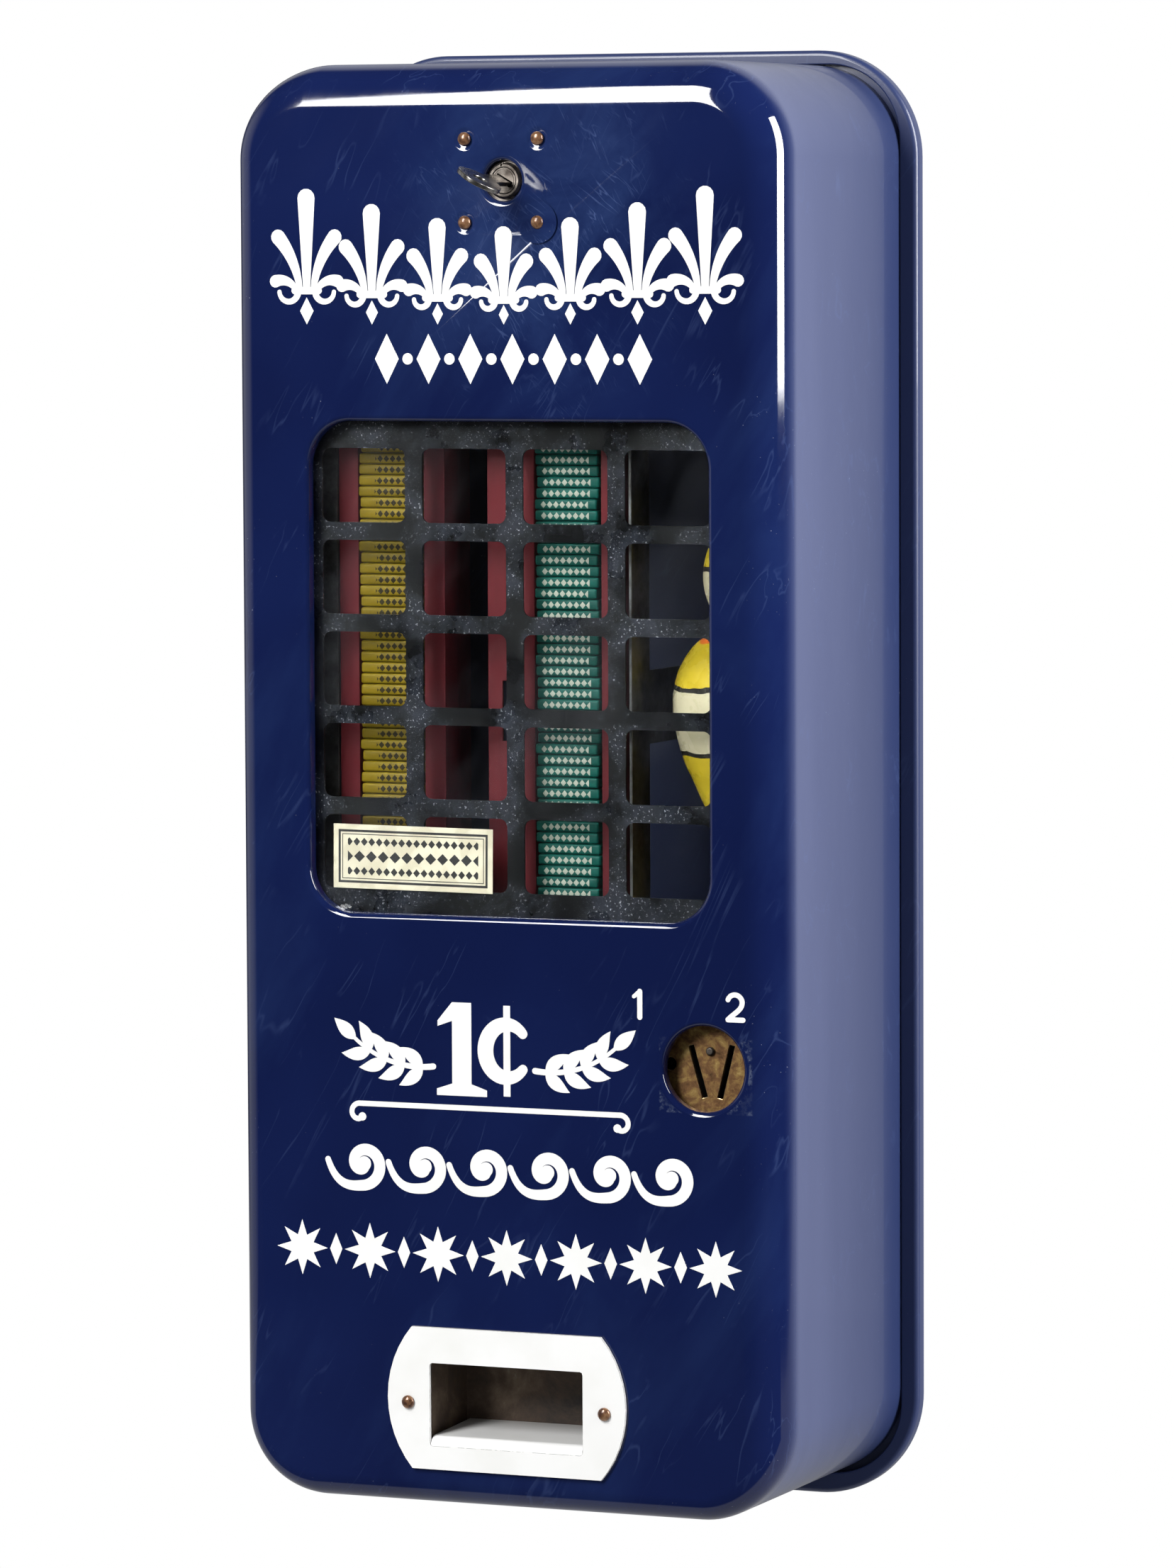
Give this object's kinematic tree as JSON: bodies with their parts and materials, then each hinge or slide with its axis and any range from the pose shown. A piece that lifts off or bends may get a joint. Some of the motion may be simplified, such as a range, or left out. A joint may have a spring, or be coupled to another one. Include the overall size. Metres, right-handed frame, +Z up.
{
  "type": "wall-mounted gum vending machine",
  "caption": "Wall-hung clockwork gum vending machine: enamelled lift-off cover with guarded window, lock, coin plate and delivery chute on a dished back plate.",
  "frame": {"origin": "centre of the back plate's rear flat face, on the wall", "axes": "+Z up, +Y into the wall, -Y out of the machine's front, +X to the right seen from the front"},
  "size_m": [0.222, 0.1478, 0.5206],
  "materials": {
    "navy_enamel": "glossy vitreous enamel",
    "white_enamel": "glossy vitreous enamel",
    "black_paint": "satin black",
    "maroon_paint": "satin paint",
    "steel": "dull plated steel",
    "nickel": "worn nickel plate",
    "brass": "tarnished",
    "copper": "browned copper",
    "brown_steel": "dark patina",
    "glass": "clear",
    "cream_paper": "matte",
    "yellow_paper": "waxed wrapper",
    "teal_paper": "waxed wrapper",
    "yellow_tin": "satin paint",
    "cream_tin": "satin paint"
  },
  "bodies": {
    "chassis": {"back_plate": "navy_enamel", "cover_hanger_left": "steel", "cover_hanger_right": "steel", "catch_bracket": "steel", "side_frame_left": "steel", "side_frame_right": "steel", "column_shelf": "steel", "column_left": "maroon_paint", "column_right": "maroon_paint", "gum_stack_left": "yellow_paper", "gum_stack_right": "teal_paper", "lever_shaft": "steel", "delivery_chute": "brown_steel", "motor_back_plate": "brass", "motor_front_plate": "brass", "turntable_bracket": "steel", "coin_plate": "brass", "coin_plate_rivet": "nickel", "coin_bracket": "steel", "coin_runway_left": "steel", "coin_runway_right": "steel", "trip_pin": "steel", "coin_tray": "steel"},
    "cover": {"front_cover": "navy_enamel", "window_glass": "glass", "window_label": "cream_paper", "guard_grille": "black_paint", "grille_clip_top": "steel", "grille_clip_bottom": "steel", "lock_plate": "steel", "lock_rivet_1": "copper", "lock_rivet_2": "copper", "lock_rivet_3": "copper", "lock_rivet_4": "copper", "lock_barrel": "nickel", "delivery_plate": "white_enamel", "delivery_rivet_1": "copper", "delivery_rivet_2": "copper"},
    "lock": {"lock_plug": "nickel", "lock_cam": "steel"},
    "key": {"key": "nickel"},
    "follower_left": {"follower_left": "black_paint"},
    "follower_right": {"follower_right": "black_paint"},
    "ejector_left": {"ejector_left": "steel", "vend_pack_left": "yellow_paper"},
    "ejector_right": {"ejector_right": "steel", "vend_pack_right": "teal_paper"},
    "push_lever_left": {"push_lever_left": "steel"},
    "push_lever_right": {"push_lever_right": "steel"},
    "drive": {"spring_barrel": "brass"},
    "winding": {"winding_key": "brass"},
    "second": {"second_wheel": "steel"},
    "governor": {"governor_fan": "steel"},
    "turntable": {"crown_wheel": "brass", "turntable": "steel", "figure_body": "yellow_tin", "figure_head": "cream_tin"},
    "trip_lever_left": {"trip_lever_left": "brass"},
    "trip_lever_right": {"trip_lever_right": "brass"}
  },
  "joints": [
    {"name": "cover_slide", "type": "slide", "parent": "chassis", "child": "cover", "axis": [0, -1, 0], "range_m": [0, 0.15]},
    {"name": "lock_turn", "type": "hinge", "parent": "cover", "child": "lock", "pos_m": [0, -0.1187, 0.21385], "axis": [0, 1, 0], "range_deg": [0, 90]},
    {"name": "key_slide", "type": "slide", "parent": "lock", "child": "key", "axis": [0, -1, 0], "range_m": [0, 0.03]},
    {"name": "follower_left_lift", "type": "slide", "parent": "chassis", "child": "follower_left", "axis": [0, 0, 1], "range_m": [0, 0.025]},
    {"name": "follower_right_lift", "type": "slide", "parent": "chassis", "child": "follower_right", "axis": [0, 0, 1], "range_m": [0, 0.025]},
    {"name": "ejector_left_slide", "type": "slide", "parent": "chassis", "child": "ejector_left", "axis": [0, -1, 0], "range_m": [0, 0.017]},
    {"name": "ejector_right_slide", "type": "slide", "parent": "chassis", "child": "ejector_right", "axis": [0, -1, 0], "range_m": [0, 0.017]},
    {"name": "push_left_swing", "type": "hinge", "parent": "chassis", "child": "push_lever_left", "pos_m": [-0.0517, -0.03, -0.11255], "axis": [1, 0, 0], "range_deg": [-28, 0]},
    {"name": "push_right_swing", "type": "hinge", "parent": "chassis", "child": "push_lever_right", "pos_m": [0.0162, -0.03, -0.11255], "axis": [1, 0, 0], "range_deg": [-28, 0]},
    {"name": "drive_spin", "type": "hinge", "parent": "chassis", "child": "drive", "pos_m": [0.06851, -0.05, -0.13072], "axis": [0, 1, 0], "continuous": true},
    {"name": "winding_spin", "type": "hinge", "parent": "chassis", "child": "winding", "pos_m": [0.06851, -0.05, -0.13072], "axis": [0, 1, 0], "continuous": true},
    {"name": "second_spin", "type": "hinge", "parent": "chassis", "child": "second", "pos_m": [0.0745, -0.05, -0.10255], "axis": [0, 1, 0], "continuous": true},
    {"name": "governor_spin", "type": "hinge", "parent": "chassis", "child": "governor", "pos_m": [0.06252, -0.05, -0.09077], "axis": [0, 1, 0], "continuous": true},
    {"name": "turntable_spin", "type": "hinge", "parent": "chassis", "child": "turntable", "pos_m": [0.0745, -0.079, -0.0535], "axis": [0, 0, 1], "continuous": true},
    {"name": "trip_left_swing", "type": "hinge", "parent": "chassis", "child": "trip_lever_left", "pos_m": [0.0719, -0.0925, -0.15255], "axis": [1, 0, 0], "range_deg": [0, 15], "stiffness_Nm_per_rad": 0.002, "springref_deg": -11.46},
    {"name": "trip_right_swing", "type": "hinge", "parent": "chassis", "child": "trip_lever_right", "pos_m": [0.0775, -0.0925, -0.15255], "axis": [1, 0, 0], "range_deg": [0, 15], "stiffness_Nm_per_rad": 0.002, "springref_deg": -11.46}
  ],
  "couplings": [
    {"joint": "push_left_swing", "follows": "ejector_left_slide", "rad_per_m": -27.4},
    {"joint": "push_right_swing", "follows": "ejector_right_slide", "rad_per_m": -27.4},
    {"joint": "second_spin", "follows": "drive_spin", "ratio": -5},
    {"joint": "governor_spin", "follows": "drive_spin", "ratio": 30},
    {"joint": "turntable_spin", "follows": "drive_spin", "ratio": 2.5}
  ]
}
